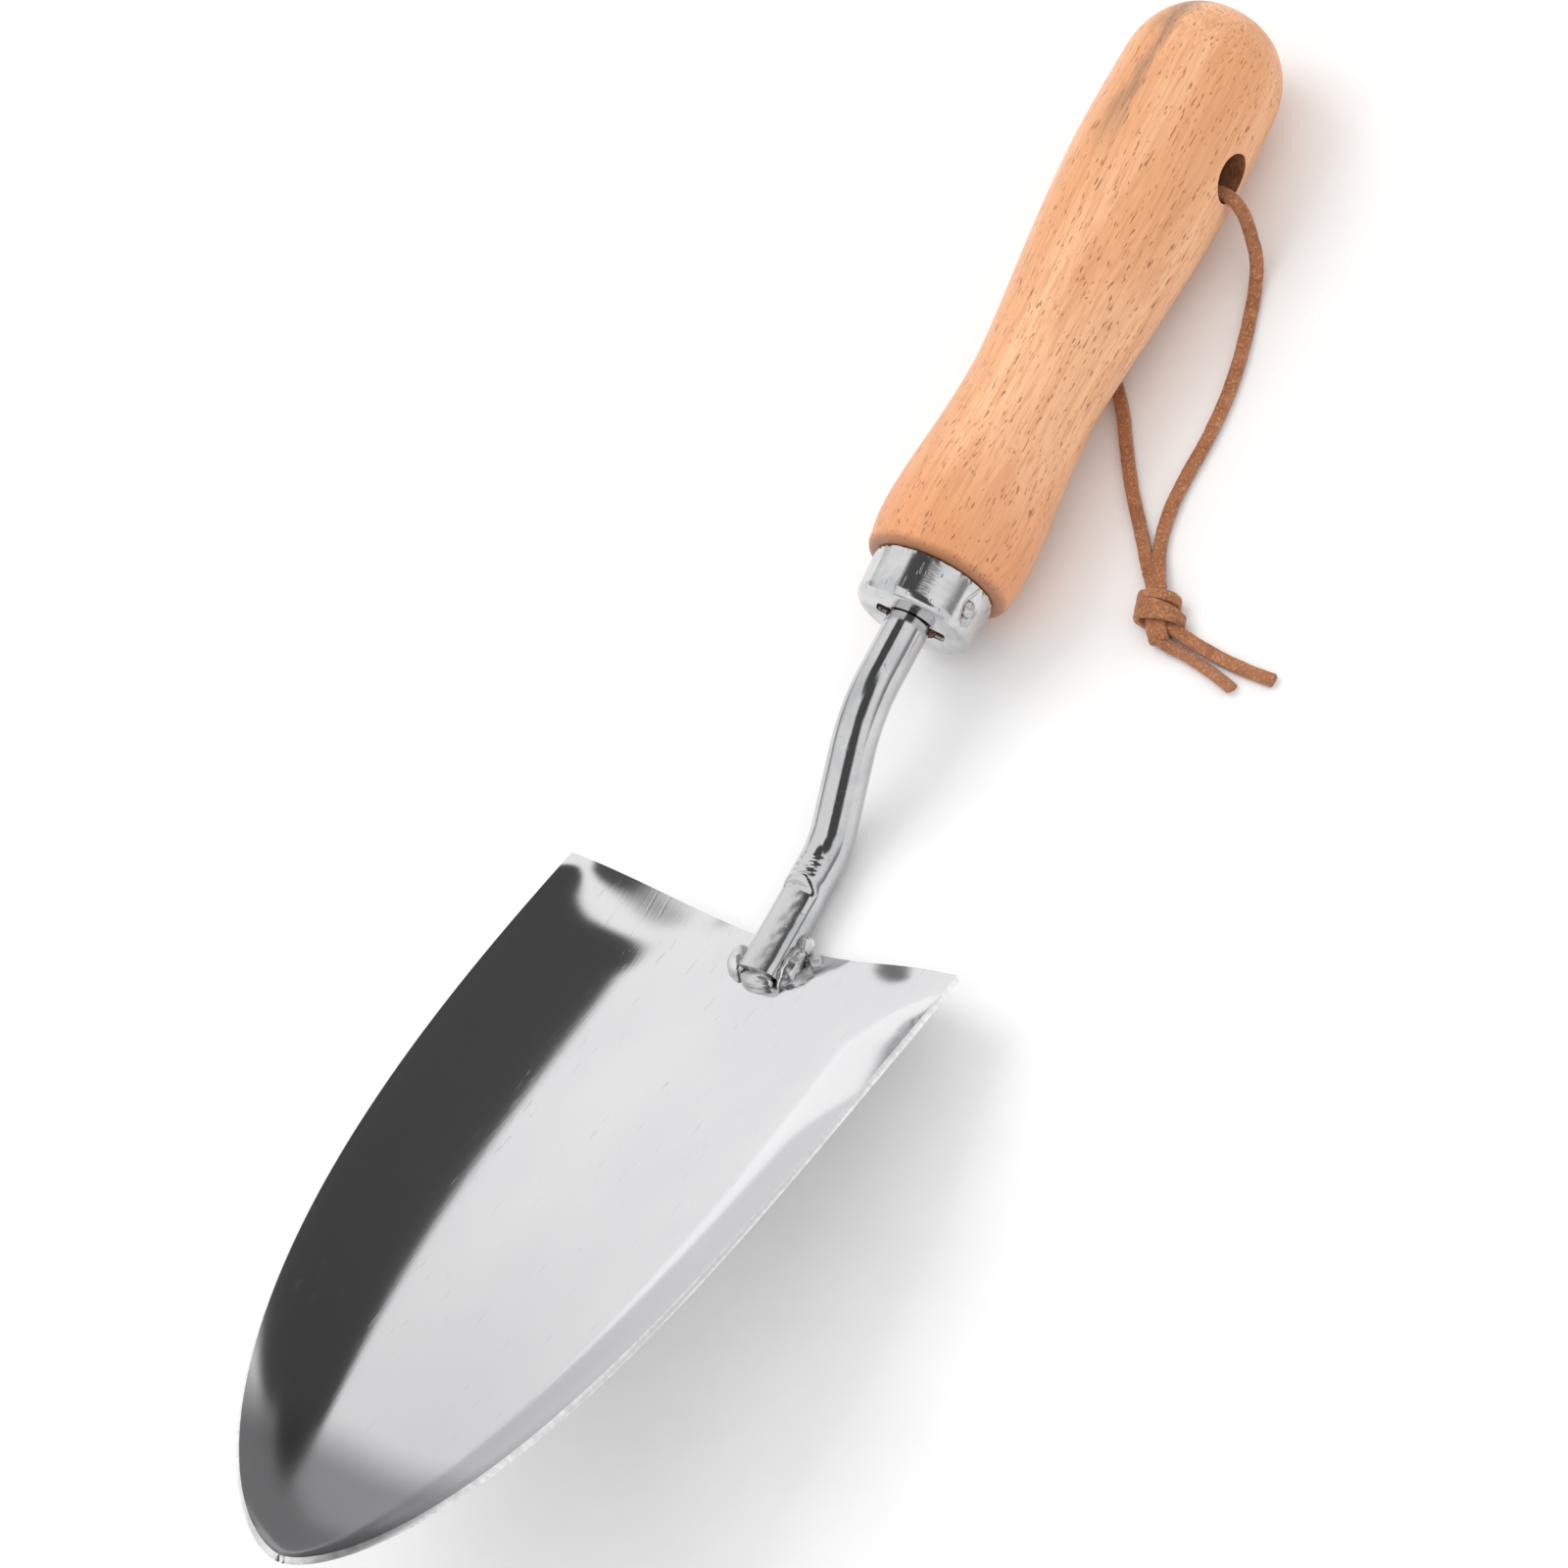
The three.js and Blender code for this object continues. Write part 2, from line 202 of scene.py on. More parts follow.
def add_turned(bm, profile, segments, place=None, material=0):
    """A closed body turned about +Y: profile is (radius, y) and starts and ends on the axis."""
    rings = []
    for radius, y in profile[1:-1]:
        ring = []
        for i in range(segments):
            angle = 2 * math.pi * i / segments
            point = Vector((radius * math.cos(angle), y, AXIS_Z + radius * math.sin(angle)))
            ring.append(place(point, angle) if place else point)
        rings.append(ring)
    made = add_loft(bm, rings, material, caps=False)
    for ring, (_, y) in ((made[0], profile[0]), (made[-1], profile[-1])):
        middle = bm.verts.new((0, y, AXIS_Z))
        for i in range(segments):
            bm.faces.new((ring[i], ring[(i + 1) % segments], middle)).material_index = material


def cut(made, cutter_bm, material=None):
    """Cuts a bmesh's shape out of a piece."""
    bmesh.ops.recalc_face_normals(cutter_bm, faces=cutter_bm.faces)
    for face in cutter_bm.faces:
        face.smooth = True
    mesh = bpy.data.meshes.new("cutter")
    cutter_bm.to_mesh(mesh)
    cutter_bm.free()
    if material is not None:
        mesh.materials.append(material)
    cutter = bpy.data.objects.new("cutter", mesh)
    bpy.context.scene.collection.objects.link(cutter)
    modifier = made.modifiers.new("cut", "BOOLEAN")
    modifier.operation = "DIFFERENCE"
    modifier.solver = "EXACT"
    modifier.material_mode = "TRANSFER"
    modifier.object = cutter
    graph = bpy.context.evaluated_depsgraph_get()
    result = bpy.data.meshes.new_from_object(made.evaluated_get(graph))
    made.modifiers.remove(modifier)
    old = made.data
    made.data = result
    result.name = made.name
    bpy.data.meshes.remove(old)
    bpy.data.objects.remove(cutter)
    bpy.data.meshes.remove(mesh)


def sharpen(made, angle):
    """Marks the edges that turn more than angle as sharp."""
    bm = bmesh.new()
    bm.from_mesh(made.data)
    for edge in bm.edges:
        if len(edge.link_faces) == 2:
            edge.smooth = edge.calc_face_angle(0) < angle
    bm.to_mesh(made.data)
    bm.free()


# ---------- material helpers ----------


class Nodes:
    """A node tree, with inputs given as values or as other nodes' outputs."""

    def __init__(self, tree):
        self.tree = tree

    def add(self, kind, inputs=None, **settings):
        made = self.tree.nodes.new(kind)
        for key, value in settings.items():
            setattr(made, key, value)
        for key, value in (inputs or {}).items():
            self.put(made.inputs[key], value)
        return made

    def put(self, socket, value):
        if isinstance(value, bpy.types.NodeSocket):
            self.tree.links.new(value, socket)
        else:
            socket.default_value = value


class Shader(Nodes):
    """A Principled material and the few nodes it is built from."""

    def __init__(self, name):
        self.material = bpy.data.materials.new(name)
        self.material.use_nodes = True
        super().__init__(self.material.node_tree)
        self.shader = self.tree.nodes["Principled BSDF"]
        self.place = self.tree.nodes.new("ShaderNodeTexCoord").outputs["Object"]

    def set(self, **values):
        for key, value in values.items():
            self.put(self.shader.inputs[key.replace("_", " ")], value)

    def noise(self, scale, detail=3.0, roughness=0.5, offset=(0, 0, 0)):
        """Noise whose cells are stretched by scale, in cells per metre along X, Y and Z."""
        mapping = self.add("ShaderNodeMapping", {
            "Vector": self.place, "Scale": scale, "Location": offset,
        })
        return self.add("ShaderNodeTexNoise", {
            "Vector": mapping.outputs[0], "Scale": 1.0, "Detail": detail, "Roughness": roughness,
        }).outputs["Fac"]

    def ramp(self, value, low, high, to_low=0.0, to_high=1.0):
        return self.add("ShaderNodeMapRange", {
            "Value": value, "From Min": low, "From Max": high, "To Min": to_low, "To Max": to_high,
        }, interpolation_type="SMOOTHSTEP").outputs[0]

    def math(self, operation, a, b=0.0):
        return self.add("ShaderNodeMath", {0: a, 1: b}, operation=operation).outputs[0]

    def axis(self, name):
        return self.add("ShaderNodeSeparateXYZ", {0: self.place}).outputs[name]

    def blend(self, share, a, b):
        inputs = {"Factor": share, 6: a, 7: b}
        return self.add("ShaderNodeMix", inputs, data_type="RGBA").outputs[2]

    def bump(self, height, depth, strength):
        return self.add("ShaderNodeBump", {
            "Height": height, "Distance": depth, "Strength": strength,
        }).outputs[0]


def rgb(red, green, blue):
    """A colour given as it looks, 0 to 255, as the shader's linear numbers."""
    def linear(value):
        value /= 255
        return value / 12.92 if value <= 0.04045 else ((value + 0.055) / 1.055) ** 2.4
    return (linear(red), linear(green), linear(blue), 1)


# ---------- materials ----------


def polished_steel():
    s = Shader("polished_steel")
    fine = s.noise((2600, 55, 900), 4)
    long_marks = s.noise((1500, 22, 700), 3)
    cloud = s.noise((45, 18, 45), 3)
    scuff = s.noise((150, 60, 150), 5, 0.65, (3, 1, 2))
    marks = s.ramp(long_marks, 0.64, 0.74)
    tone = s.blend(s.ramp(cloud, 0.3, 0.75), rgb(230, 230, 231), rgb(223, 223, 225))
    # painted reflection: the steel's colour is darkened more and more towards the tip, in place of
    # the greyer surroundings it mirrors there
    tone = s.blend(s.ramp(s.axis("Y"), BACK_Y - 0.03, TIP_Y, 0, 0.75), tone, rgb(196, 196, 198))
    patchy = s.math("ADD", s.axis("Y"), s.ramp(cloud, 0.3, 0.7, -0.001, 0.001))
    painted_dark_tip = s.ramp(patchy, TIP_Y + 0.030, TIP_Y + 0.018)  # painted reflection: the steel is painted dark and made rougher short of the tip, in place of the grey it mirrors there
    tone = s.blend(s.math("MULTIPLY", painted_dark_tip, 0.85), tone, rgb(120, 120, 122))
    tone = s.blend(s.math("MULTIPLY", marks, 0.14), tone, rgb(160, 160, 162))
    rough = s.math("ADD", s.ramp(cloud, 0.3, 0.75, 0.08, 0.1), s.ramp(scuff, 0.64, 0.82, 0, 0.04))
    rough = s.math("ADD", rough, s.math("MULTIPLY", marks, 0.05))
    rough = s.math("ADD", rough, s.math("MULTIPLY", painted_dark_tip, 0.08))
    height = s.math("ADD", fine, s.math("MULTIPLY", marks, -0.8))
    s.set(Base_Color=tone, Roughness=rough, Metallic=1.0,
          Normal=s.bump(height, 0.000006, 0.4))
    return s.material


def cut_edge():
    s = Shader("cut_edge")
    tears = s.noise((900, 900, 260), 4, 0.6)
    s.set(Base_Color=s.blend(s.ramp(tears, 0.3, 0.7), rgb(244, 244, 244), rgb(222, 222, 223)),
          Roughness=s.ramp(tears, 0.3, 0.75, 0.3, 0.42), Metallic=1.0,
          Normal=s.bump(tears, 0.00004, 0.5))
    return s.material


def rod_steel():
    s = Shader("rod_steel")
    fine = s.noise((1500, 220, 1500), 4, 0.6)
    cloud = s.noise((160, 70, 160), 4, 0.6)
    pits = s.noise((900, 900, 900), 3, 0.6, (5, 2, 1))
    pit = s.ramp(pits, 0.64, 0.72)
    tone = s.blend(s.ramp(cloud, 0.35, 0.7), rgb(206, 206, 207), rgb(186, 187, 189))
    tone = s.blend(s.math("MULTIPLY", pit, 0.3), tone, rgb(110, 108, 106))
    pressed = s.ramp(s.axis("Y"), -12.5 * MM, -9.5 * MM, 1, 0)  # brushed where the press held it
    pressed = s.math("MULTIPLY", pressed, s.ramp(s.axis("X"), 1.6 * MM, 3.0 * MM, 1, 0))
    brushed = s.noise((2600, 500, 900), 4, 0.6, (2, 2, 9))
    tone = s.blend(s.math("MULTIPLY", pressed, s.ramp(brushed, 0.3, 0.7, 0.45, 1)), tone,
                   rgb(212, 212, 213))
    rough = s.math("ADD", s.ramp(cloud, 0.3, 0.75, 0.1, 0.18), s.math("MULTIPLY", pressed, 0.12))
    height = s.math("SUBTRACT", fine, pit)
    s.set(Base_Color=tone, Roughness=rough, Metallic=1.0,
          Normal=s.bump(height, 0.000022, 0.5))
    return s.material


def weld_steel():
    s = Shader("weld_steel")
    lumps = s.noise((700, 700, 700), 3, 0.5)
    heat = s.noise((260, 260, 260), 3)
    tone = s.blend(s.ramp(heat, 0.35, 0.7), rgb(226, 226, 227), rgb(186, 184, 182))
    s.set(Base_Color=tone, Roughness=s.ramp(lumps, 0.3, 0.8, 0.22, 0.42), Metallic=1.0,
          Normal=s.bump(lumps, 0.00008, 0.5))
    return s.material


def ferrule_steel():
    s = Shader("ferrule_steel")
    fine = s.noise((500, 2200, 500), 4, 0.6)
    cloud = s.noise((190, 190, 190), 4, 0.6)
    marks = s.ramp(s.noise((1700, 260, 240), 2, 0.5, (1, 4, 2)), 0.66, 0.72)
    tone = s.blend(s.ramp(cloud, 0.35, 0.7), rgb(214, 214, 214), rgb(188, 189, 191))
    tone = s.blend(s.math("MULTIPLY", marks, 0.4), tone, rgb(120, 120, 122))
    height = s.math("SUBTRACT", fine, s.math("MULTIPLY", marks, 1.5))
    s.set(Base_Color=tone, Roughness=s.ramp(cloud, 0.3, 0.75, 0.12, 0.2), Metallic=1.0,
          Normal=s.bump(height, 0.00003, 0.6))
    return s.material


def nail_steel():
    s = Shader("nail_steel")
    wear = s.noise((1800, 1800, 1800), 4, 0.6)
    tone = s.blend(s.ramp(wear, 0.35, 0.7), rgb(214, 213, 210), rgb(164, 162, 158))
    s.set(Base_Color=tone, Roughness=s.ramp(wear, 0.3, 0.75, 0.2, 0.42), Metallic=1.0,
          Normal=s.bump(wear, 0.00005, 0.6))
    return s.material


def beech():
    """Turned beech: pale, with short dark ray flecks along the grain and one grey-brown streak."""
    s = Shader("beech")
    broad = s.noise((70, 7, 70), 3, 0.5)
    fibre = s.noise((1900, 55, 1900), 4, 0.6)
    fleck = s.noise((2500, 420, 2500), 1, 0.4, (7, 3, 5))
    long_fleck = s.noise((2300, 230, 2300), 2, 0.5, (2, 8, 4))
    tone = s.blend(s.ramp(broad, 0.34, 0.66), rgb(240, 186, 143), rgb(222, 158, 108))
    near = s.ramp(s.axis("Y"), 0.048, 0.080, 0.75, 0)
    tone = s.blend(near, tone, rgb(218, 144, 94))
    tone = s.blend(s.ramp(fibre, 0.4, 0.72, 0, 0.7), tone, rgb(204, 138, 92))
    figure = s.noise((420, 26, 420), 2, 0.5, (1, 7, 3))
    tone = s.blend(s.ramp(figure, 0.5, 0.7, 0, 0.4), tone, rgb(206, 140, 96))
    flecks = s.math("MAXIMUM", s.ramp(fleck, 0.665, 0.7), s.ramp(long_fleck, 0.67, 0.72, 0, 0.8))
    tone = s.blend(s.math("MULTIPLY", flecks, 0.75), tone, rgb(140, 82, 48))
    wander = s.noise((90, 35, 90), 3, 0.5, (4, 4, 4))
    side = s.math("ADD", s.axis("X"), s.ramp(wander, 0.3, 0.7, -0.0004, 0.0046))
    streak = s.ramp(s.math("ABSOLUTE", side), 0.0004, 0.0036, 1, 0)
    streak = s.math("MULTIPLY", streak, s.ramp(s.axis("Y"), HOLE_Y - 0.014, HOLE_Y + 0.006))
    streak = s.math("MULTIPLY", streak, s.ramp(s.axis("Z"), AXIS_Z, AXIS_Z + 0.006))
    tone = s.blend(s.math("MULTIPLY", streak, s.ramp(fibre, 0.3, 0.7, 0.5, 0.9)), tone,
                   rgb(140, 104, 80))
    collar = s.ramp(s.axis("Y"), FERRULE_HIGH.y + 0.0003, FERRULE_HIGH.y + 0.0022, 0.65, 0)
    tone = s.blend(collar, tone, rgb(120, 74, 46))
    height = s.math("ADD", fibre, s.math("MULTIPLY", flecks, -0.7))
    s.set(Base_Color=tone, Roughness=s.ramp(broad, 0.3, 0.7, 0.36, 0.48),
          Normal=s.bump(height, 0.00005, 0.5), Coat_Weight=0.12, Coat_Roughness=0.3)
    return s.material


def bore_wood():
    s = Shader("bore_wood")
    fibre = s.noise((1500, 260, 900), 4, 0.6)
    tone = s.blend(s.ramp(fibre, 0.3, 0.7), rgb(148, 92, 58), rgb(104, 58, 36))
    s.set(Base_Color=tone, Roughness=s.ramp(fibre, 0.3, 0.7, 0.6, 0.85),
          Normal=s.bump(fibre, 0.0002, 0.6))
    return s.material


def suede():
    s = Shader("suede")
    nap = s.noise((3600, 3600, 3600), 4, 0.7)
    hair = s.noise((2300, 1600, 2300), 3, 0.6, (3, 6, 2))
    cloud = s.noise((240, 240, 240), 3, 0.6)
    tone = s.blend(s.ramp(cloud, 0.35, 0.7), rgb(176, 117, 81), rgb(152, 97, 64))
    tone = s.blend(s.ramp(nap, 0.46, 0.62, 0, 0.6), tone, rgb(112, 68, 43))
    tone = s.blend(s.ramp(hair, 0.53, 0.66, 0, 0.6), tone, rgb(208, 158, 116))
    s.set(Base_Color=tone, Roughness=s.ramp(cloud, 0.3, 0.7, 0.82, 0.95),
          Normal=s.bump(s.math("ADD", nap, hair), 0.00016, 0.8),
          Sheen_Weight=0.25, Sheen_Roughness=0.5, Specular_IOR_Level=0.2)
    return s.material


STEEL = polished_steel()
EDGE = cut_edge()
ROD = rod_steel()
WELD = weld_steel()
CUP = ferrule_steel()
NAIL = nail_steel()
BEECH = beech()
BORE = bore_wood()
SUEDE = suede()


# ---------- lace ----------

LACE_WIDTH = 2.4 * MM
LACE_THICKNESS = 1.4 * MM

RIGHT_ROUTE = [
    (0.4, 132.8, 13.5), (5, 132.8, 13.5), (10, 132.8, 13.5), (14.8, 132.7, 13.4),
    (17.4, 131.6, 11), (18.8, 129.6, 7.4), (20, 127, 3.8), (20.9, 123.2, 1.4),
    (22.6, 117.5, 0.95), (24.6, 110, 0.95), (26, 102, 0.95), (26.5, 93.5, 0.95),
    (26.3, 85.5, 0.95), (26.6, 78.5, 0.95), (28.2, 71.5, 0.95), (31.4, 65.4, 1.6),
]
LEFT_ROUTE = [
    (-0.4, 132.8, 13.5), (-5, 132.8, 13.5), (-10, 132.8, 13.5), (-15, 132.9, 13.5),
    (-16.6, 130.9, 10.6), (-17, 127.6, 6.8), (-16.8, 123.6, 3.2), (-15, 119, 1.2),
    (-11.6, 113.8, 0.95), (-6.8, 108, 0.95), (-1.4, 103.2, 0.95), (4, 99.4, 0.95),
    (9, 93.6, 0.95), (13.4, 86.8, 0.95), (18.4, 79.6, 0.95), (23.6, 73, 0.95),
    (28.2, 67, 1.2),
]
LONG_TAIL = [
    (39.2, 57.2, 1.5), (42.4, 56.4, 1), (46, 55.6, 0.95), (50, 54.8, 0.95),
    (55, 54.2, 0.95), (60.2, 53.9, 0.95),
]
SHORT_TAIL = [
    (38, 54.6, 1.5), (41.2, 54, 1), (44.6, 53.2, 0.95), (49.2, 51.9, 0.95), (53.7, 50.3, 0.95),
]
KNOT_CENTRE = Vector((35.2, 59.2, 0)) * MM


def in_metres(route):
    return [Vector(p) * MM for p in route]


def strip_rings(path, faces, width, thickness):
    """Rounded flat sections along the path. faces gives each section's flat-face direction."""
    rings = []
    sides = 20
    for i, centre in enumerate(path):
        along = (path[min(i + 1, len(path) - 1)] - path[max(i - 1, 0)]).normalized()
        across = along.cross(faces[i]).normalized()
        over = across.cross(along)
        share = i / (len(path) - 1)
        wide = width(share) if callable(width) else width
        ring = []
        for k in range(sides):
            angle = 2 * math.pi * (k + 0.5) / sides
            c, s = math.cos(angle), math.sin(angle)
            fray = 1 + 0.07 * noise.noise(centre * 1400 + Vector((k * 1.7, 0, 0)))
            x = math.copysign(abs(c) ** 0.45, c) * wide / 2 * fray
            y = math.copysign(abs(s) ** 0.55, s) * thickness / 2 * fray
            ring.append(centre + across * x + over * y)
        rings.append(ring)
    return rings


def faces_along(hints, path):
    """The flat-face direction at each point of the path, from a few evenly spread ones."""
    made = []
    for i in range(len(path)):
        t = i / (len(path) - 1) * (len(hints) - 1)
        k = min(int(t), len(hints) - 2)
        made.append(Vector(hints[k]).lerp(Vector(hints[k + 1]), t - k).normalized())
    return made


def strand(name, route, side, replaced):
    """One run of the lace: flat in the hole, over its lip, down to the floor and to the knot."""
    path = smooth_path(in_metres(route), 10)
    up = (0, 0, 1)
    hints = [up, up, up, (0.25 * side, 0, 1), (0.85 * side, 0, 0.6), (side, -0.15, 0.35),
             (0.8 * side, -0.35, 0.6), (0.3 * side, -0.1, 1)]
    hints += [(0.22 * side, 0.1, 1), (0.1 * side, 0, 1), up, (-0.15 * side, 0, 1)]
    hints += [up] * (len(route) - len(hints))
    bm = bmesh.new()
    add_loft(bm, strip_rings(path, faces_along(hints, path), LACE_WIDTH, LACE_THICKNESS))
    made = piece(name, bm, [SUEDE], replaced, math.radians(50))
    length = sum((b - a).length for a, b in zip(path, path[1:]))
    return made, path, length


DOWN = Vector((0.4786, -0.8780, 0))  # from the handle towards the knot's loop
ACROSS = Vector((0.9554, 0.2954, 0))


def knot():
    """The overhand knot in both strands, with its fold and its two cut tails."""
    def there(points):
        return [
            KNOT_CENTRE + (ACROSS * r + DOWN * d + Vector((0, 0, z))) * MM for r, d, z in points
        ]

    def lay(bm, points, hints, width, thickness):
        path = smooth_path(there(points), 10)
        faces = [ACROSS * a + DOWN * b + Vector((0, 0, c)) for a, b, c in hints]
        add_loft(bm, strip_rings(path, faces_along(faces, path), width, thickness))

    bm = bmesh.new()
    up = (0, 0, 1)
    into_left = [
        (27, 68.7, 1.15), (28.2, 67, 1.2), (30.4, 64.5, 1.5), (33, 61.6, 2), (34.6, 59.6, 2.1),
    ]
    into_right = [
        (30.4, 67.2, 1.4), (31.4, 65.4, 1.6), (33, 63, 1.9), (34.6, 60.8, 2.1), (35.4, 59, 2.1),
    ]
    for route in (into_left, into_right):
        path = smooth_path(in_metres(route), 10)
        add_loft(bm, strip_rings(path, faces_along([up, up], path), LACE_WIDTH, LACE_THICKNESS))
    # the fold that sticks out below the bands
    lay(bm, [(-0.6, -2, 2.0), (-0.8, 1, 2.5), (-0.7, 3.4, 2.6), (-0.5, 4.9, 2.1), (-0.45, 4.9, 1.0),
             (-0.6, 3.2, 0.75), (-0.6, 0.5, 0.8)],
        [up, up, (0, 0.3, 1), (0, 1, 0.5), (0, 0.8, -0.7), (0, 0, -1), (0, 0, -1)],
        3.6 * MM, 1.15 * MM)
    once_round = [
        (0, 0, -1), (-0.5, 0, -1), (-1, 0, 0), (-0.6, 0, 0.8), up, (0.6, 0, 0.8), (1, 0, 0),
        (0.5, 0, -1), (0, 0, -1),
    ]
    # the collar band, once over the strands
    lay(bm, [(0.5, -2.6, 0.8), (-2.6, -2.5, 0.9), (-3.7, -2.7, 1.9), (-2.9, -3, 3.2),
             (-0.2, -3, 3.8), (2.4, -2.6, 3.1), (3.1, -2.1, 1.8), (2.2, -1.9, 0.85),
             (0, -1.8, 0.75)],
        once_round, 2.1 * MM, 1.25 * MM)
    # the wide second band, narrower to the right
    lay(bm, [(0.5, 0.6, 0.8), (-2.8, 0.2, 0.9), (-4.1, -0.2, 2), (-3.2, -0.4, 3.5),
             (-0.4, 0.1, 4.1), (2.4, 0.8, 3.5), (3.8, 1.4, 2.1), (3, 1.5, 0.9), (0.6, 1.2, 0.8)],
        once_round,
        lambda share: mix(3.7, 2.1, smoothstep(0.4, 0.8, share)) * MM, 1.3 * MM)
    for route, turn in ((LONG_TAIL, (0, 0, 1)), (SHORT_TAIL, (0.35, 0.6, 0.8))):
        path = smooth_path([KNOT_CENTRE + Vector((0.8, -1.4, 1.7)) * MM] + in_metres(route), 10)
        faces = faces_along([(0.3, 0, 1), turn, turn], path)
        add_loft(bm, strip_rings(path, faces, LACE_WIDTH, LACE_THICKNESS))
    return piece("lace_knot_tied", bm, [SUEDE],
                 ["lace_knot", "lace_tail_long", "lace_tail_short"], math.radians(50))


tied = knot()
for lace_name, node_name, lace_route, lace_side in (
    ("lace_right", "lace_strand_right", RIGHT_ROUTE, 1),
    ("lace_left", "lace_strand_left", LEFT_ROUTE, -1),
):
    made_strand, line, line_length = strand(lace_name, lace_route, lace_side, [node_name])
    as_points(line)


# ---------- blade ----------

BLADE_ACROSS = 120
BLADE_ALONG = 170
FLARE_LENGTH = 0.12


def half_width(s):
    return max(BACK_HALF_WIDTH * max(1 - s ** 3, 0) ** 0.6, TIP_HALF_WIDTH)


def blade_top(u, s):
    """The blade's top face: u is -1 to 1 across, s is 0 at the back edge and 1 at the tip."""
    rim = mix(RIM_BACK_Z, RIM_TIP_Z, s) + 4 * RIM_BOW * s * (1 - s)
    flare = 0.75 * max(1 - s / FLARE_LENGTH, 0) ** 2
    bowl = mix(1 - abs(u) ** 2.2, math.cos(math.pi * u / 2) ** 2, flare)
    depth = SCOOP_DEPTH * max(1 - s ** 4, 0) ** 0.6
    return Vector((u * half_width(s), mix(BACK_Y, TIP_Y, s), rim - depth * bowl))


def blade_normal(u, s):
    h = 1e-3
    middle = min(s, 1 - 2 * h)
    across = blade_top(u + h, s) - blade_top(u - h, s)
    along = blade_top(u, middle + h) - blade_top(u, middle - h)
    return along.cross(across).normalized()


def blade_height(x, y):
    """The top face's level at a place, for pieces that rest on it."""
    s = min(max((BACK_Y - y) / (BACK_Y - TIP_Y), 0), 1)
    u = min(max(x / half_width(s), -1), 1)
    return blade_top(u, s).z


def blade():
    """The pressed sheet, with its cut edge standing as a narrow band of its own all round."""
    rings = []
    for j in range(BLADE_ALONG + 1):
        s = 1 - (1 - j / BLADE_ALONG) ** 1.7
        top, bottom = [], []
        for i in range(BLADE_ACROSS + 1):
            u = math.sin((i / BLADE_ACROSS - 0.5) * math.pi * 0.92) / math.sin(0.46 * math.pi)
            point = blade_top(u, s)
            top.append(point)
            bottom.append(point - blade_normal(u, s) * SHEET)
        rings.append((top, bottom))
    bm = bmesh.new()
    made = []
    for top, bottom in rings:
        outer = []
        for corner in (0, -1):
            out = Vector((-1 if corner == 0 else 1, 0, 0))
            a, b = top[corner], bottom[corner]
            rough = 0.02 * noise.noise(a * 500)
            outer.append([a.lerp(b, t) + out * (0.07 + rough) * MM for t in (0.3, 0.75)])
        ring = list(top) + outer[1] + bottom[::-1] + outer[0][::-1]
        made.append([bm.verts.new(p) for p in ring])
    count = len(made[0])
    tops = BLADE_ACROSS + 1
    for a, b in zip(made, made[1:]):
        for i in range(count):
            j = (i + 1) % count
            face = bm.faces.new((a[i], a[j], b[j], b[i]))
            on_edge = tops - 1 <= i < tops + 2 or i >= count - 3
            face.material_index = 1 if on_edge else 0
    for ring, flip in ((made[0], False), (made[-1], True)):
        top = ring[:tops]
        bottom = ring[tops + 2:2 * tops + 2][::-1]
        for i in range(tops - 1):
            quad = (top[i], top[i + 1], bottom[i + 1], bottom[i])
            bm.faces.new(quad[::-1] if flip else quad).material_index = 1
        left, right = ring[-2:][::-1], ring[tops:tops + 2]
        bm.faces.new((top[0], bottom[0], left[1], left[0])).material_index = 1
        bm.faces.new((top[-1], right[0], right[1], bottom[-1])).material_index = 1
    return piece("blade_sheet", bm, [STEEL, EDGE], ["blade"], math.radians(38))


blade()


# ---------- shank ----------

NECK_Y = FACE_Y - 11.3 * MM
TANG_END_Y = FACE_Y + 62 * MM
DROP = math.radians(30)
UPPER_BEND = 27 * MM
LOWER_BEND = 12 * MM
FOOT_ANGLE = math.radians(2.5)
LOWEST_ROD_Z = ROD_RADIUS
FLAT_HEIGHT = 2.5 * MM
FLAT_START = 5.3 * MM
ROD_SIDES = 96
EARS_SIZE = (11.5 * MM, 5.2 * MM, 1.5 * MM)
EARS_TURN = math.radians(26)


def rod_line():
    """The rod's middle line as (y, z, slope), and the y where its foot begins."""
    line = [(TANG_END_Y, ROD_Z, 0.0)]
    line += [(mix(FACE_Y + 8 * MM, NECK_Y, i / 24), ROD_Z, 0.0) for i in range(24)]
    upper_z = ROD_Z - UPPER_BEND
    for i in range(31):
        a = DROP * i / 30
        line.append((NECK_Y - UPPER_BEND * math.sin(a), upper_z + UPPER_BEND * math.cos(a), a))
    y, z, _ = line[-1]
    lower_z = LOWEST_ROD_Z + LOWER_BEND
    end_z = lower_z - LOWER_BEND * math.cos(DROP)
    end_y = y - (z - end_z) / math.tan(DROP)
    line += [(mix(y, end_y, i / 24), mix(z, end_z, i / 24), DROP) for i in range(1, 24)]
    lower_y = end_y - LOWER_BEND * math.sin(DROP)
    for i in range(25):
        a = mix(DROP, -FOOT_ANGLE, i / 24)
        line.append((lower_y + LOWER_BEND * math.sin(a), lower_z - LOWER_BEND * math.cos(a), a))
    y, z, _ = line[-1]
    for i in range(1, 71):
        at = mix(y, FOOT_END_Y, i / 70)
        line.append((at, z + (y - at) * math.tan(FOOT_ANGLE), -FOOT_ANGLE))
    return line, y


